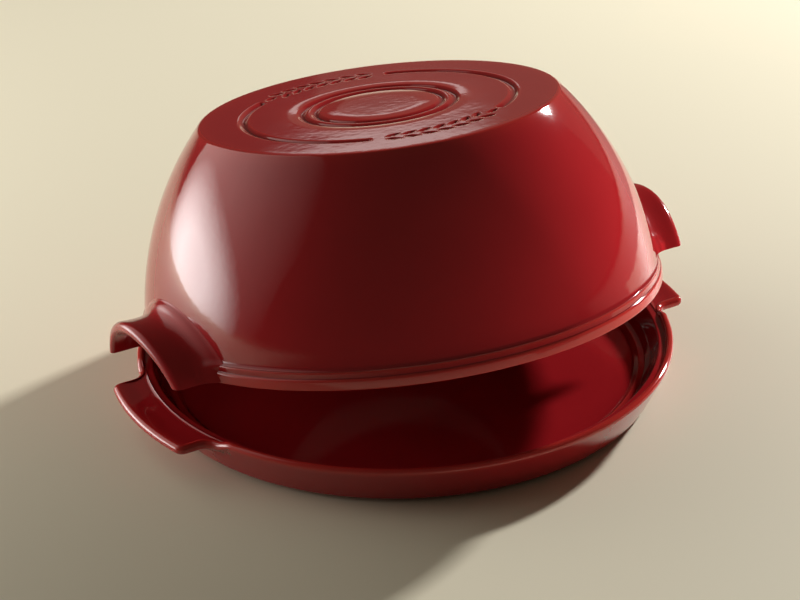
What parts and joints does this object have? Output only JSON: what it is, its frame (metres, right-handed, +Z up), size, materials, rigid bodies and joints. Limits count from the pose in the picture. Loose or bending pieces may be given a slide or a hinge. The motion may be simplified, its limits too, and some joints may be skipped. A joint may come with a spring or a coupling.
{
  "type": "bread cloche",
  "caption": "Round glazed ceramic baking dish with two lug handles and a tall domed lid with arched handles, tipped open on its back rim.",
  "frame": {"origin": "under the middle of the dish, at the bottom centre of the part's box, in the plane of the foot ring's flat underside", "axes": "+X out through one pair of handles, +Y towards the side on which the lid leans back, +Z up"},
  "size_m": [0.3156, 0.285, 0.1658],
  "materials": {
    "dish_glaze": "glossy deep red glaze, bare clay under the foot ring",
    "lid_glaze": "glossy deep red glaze"
  },
  "bodies": {
    "dish": {"base_dish": "dish_glaze"},
    "lid": {"domed_lid": "lid_glaze"}
  },
  "joints": [
    {"name": "lid_tip", "type": "hinge", "parent": "dish", "child": "lid", "pos_m": [0, 0.1386, 0.024], "axis": [-1, 0, 0], "range_deg": [-10, 65]}
  ]
}
